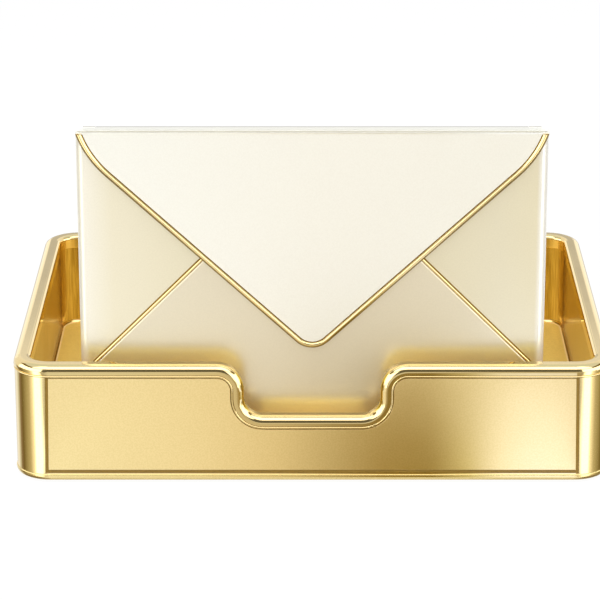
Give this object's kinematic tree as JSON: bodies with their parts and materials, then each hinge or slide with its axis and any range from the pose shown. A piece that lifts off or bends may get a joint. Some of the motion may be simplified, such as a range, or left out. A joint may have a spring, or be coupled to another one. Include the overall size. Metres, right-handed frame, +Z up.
{
  "type": "desk letter tray with envelope-shaped letter case",
  "caption": "Gold desk letter tray with a notched front wall and rolled rim, holding an upright envelope-shaped letter case with a hinged flap.",
  "frame": {"origin": "centre of the tray's footprint, on the surface the rubber feet stand on", "axes": "+X to the right seen from the notched front, +Y from the front to the back, +Z up"},
  "size_m": [0.293, 0.219, 0.1748],
  "materials": {
    "polished_gold": "polished, gold plated",
    "satin_gold": "fine satin, gold plated",
    "gold_anodised": "bright gold anodised",
    "pearl_enamel": "pearl cream satin enamel",
    "bonding_film": "matt, dark brown foam bonding film",
    "black_rubber": "matt",
    "strip_rubber": "matt, cast beige rubber",
    "fastener_steel": "plain"
  },
  "bodies": {
    "tray": {"base_plate": "gold_anodised", "outer_shell": "gold_anodised", "front_fascia": "satin_gold", "fascia_film": "bonding_film", "inner_liner": "gold_anodised", "rim_trim": "polished_gold", "tie_screws": "fastener_steel", "envelope_channel": "gold_anodised", "channel_pad": "strip_rubber", "channel_screws": "fastener_steel", "foot_front_left": "black_rubber", "foot_front_right": "black_rubber", "foot_rear_left": "black_rubber", "foot_rear_right": "black_rubber", "corner_post_front_left": "fastener_steel", "corner_post_front_right": "fastener_steel", "corner_post_rear_left": "fastener_steel", "corner_post_rear_right": "fastener_steel"},
    "letter_case": {"case_back_panel": "pearl_enamel", "case_right_side_flap": "pearl_enamel", "case_left_side_flap": "pearl_enamel", "case_bottom_flap": "pearl_enamel", "seam_film_right": "bonding_film", "seam_film_left": "bonding_film", "seam_bead_right": "polished_gold", "seam_bead_left": "polished_gold", "hinge_pin": "fastener_steel"},
    "flap": {"top_flap": "pearl_enamel", "flap_bead_film": "bonding_film", "flap_edge_bead": "polished_gold"}
  },
  "joints": [
    {"name": "case_lift", "type": "slide", "parent": "tray", "child": "letter_case", "axis": [0, 0, 1], "range_m": [0, 0.06]},
    {"name": "flap_hinge", "type": "hinge", "parent": "letter_case", "child": "flap", "pos_m": [0, -0.0862, 0.1732], "axis": [-1, 0, 0], "range_deg": [0, 175]}
  ]
}
